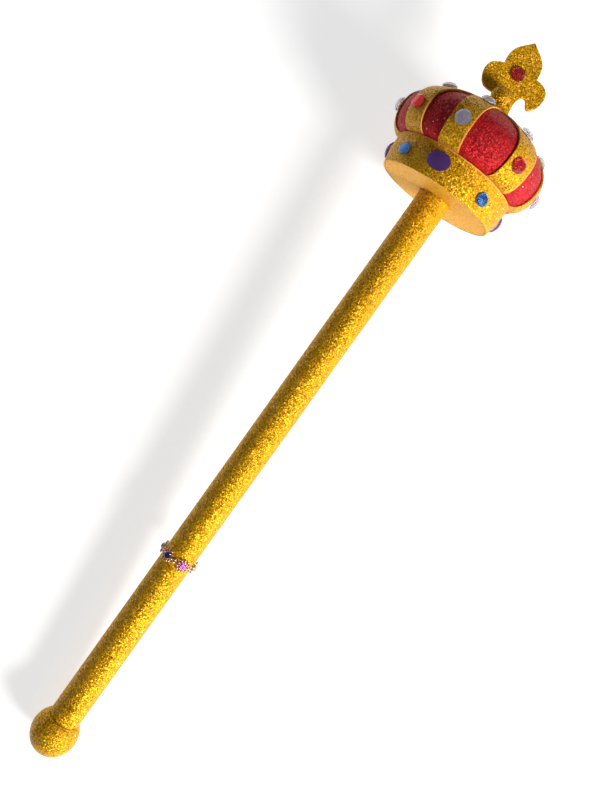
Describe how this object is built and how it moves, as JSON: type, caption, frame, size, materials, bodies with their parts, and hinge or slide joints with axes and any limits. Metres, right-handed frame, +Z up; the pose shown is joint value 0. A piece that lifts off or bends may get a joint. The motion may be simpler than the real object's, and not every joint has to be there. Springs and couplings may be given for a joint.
{
  "type": "toy royal sceptre",
  "caption": "Lying costume sceptre: glittered round rod with a ball pommel, a flower band on the grip and a jewelled crown head topped by a fleur-de-lis.",
  "frame": {"origin": "middle of the underside of the whole object's box, on the surface it lies on", "axes": "+X from the pommel to the crown along the length, +Z up, the fleur-de-lis plate's front facing up"},
  "size_m": [0.6284, 0.1228, 0.118],
  "materials": {
    "gold_glitter": "gold glitter bonded on sheet, card and foam, sparkling, slightly rough",
    "red_glitter": "red glitter bonded on foam, sparkling",
    "rose_gold": "bright rose-gold plated costume metal",
    "clear_stone": "clear foil-backed faceted acrylic",
    "lavender_stone": "lavender foil-backed faceted acrylic",
    "red_stone": "red foil-backed faceted acrylic",
    "blue_stone": "blue foil-backed faceted acrylic",
    "purple_stone": "purple foil-backed faceted acrylic",
    "navy_stone": "navy faceted glass paste",
    "violet_stone": "violet faceted glass paste",
    "champagne_stone": "champagne faceted glass paste"
  },
  "bodies": {
    "root": {"arch_1": "gold_glitter", "arch_2": "gold_glitter", "arch_3": "gold_glitter", "arch_4": "gold_glitter", "arch_5": "gold_glitter", "arch_6": "gold_glitter", "arch_7": "gold_glitter", "arch_8": "gold_glitter", "arch_9": "gold_glitter", "arch_gem_1": "lavender_stone", "arch_gem_2": "red_stone", "arch_gem_3": "lavender_stone", "arch_gem_4": "red_stone", "arch_gem_5": "lavender_stone", "arch_gem_6": "red_stone", "arch_gem_7": "lavender_stone", "arch_gem_8": "red_stone", "arch_gem_9": "lavender_stone", "band_gem_1": "purple_stone", "band_gem_2": "blue_stone", "band_gem_3": "purple_stone", "band_gem_4": "blue_stone", "band_gem_5": "purple_stone", "band_gem_6": "blue_stone", "band_gem_7": "purple_stone", "band_gem_8": "blue_stone", "band_gem_9": "purple_stone", "crown_band": "gold_glitter", "crown_cap": "red_glitter", "crown_underside": "gold_glitter", "finial_ball": "gold_glitter", "fleur_de_lis": "gold_glitter", "fleur_gem": "red_stone", "pommel": "gold_glitter", "ring_gem_1": "navy_stone", "ring_gem_2": "navy_stone", "ring_gem_3": "violet_stone", "ring_gem_4": "champagne_stone", "ring_gem_5": "red_stone", "ring_gem_6": "blue_stone", "ring_setting": "rose_gold", "shaft": "gold_glitter", "shoulder_gem_1": "clear_stone", "shoulder_gem_2": "clear_stone", "shoulder_gem_3": "clear_stone", "shoulder_gem_4": "clear_stone", "shoulder_gem_5": "clear_stone", "shoulder_gem_6": "clear_stone", "shoulder_gem_7": "clear_stone", "shoulder_gem_8": "clear_stone", "shoulder_gem_9": "clear_stone"}
  },
  "joints": []
}
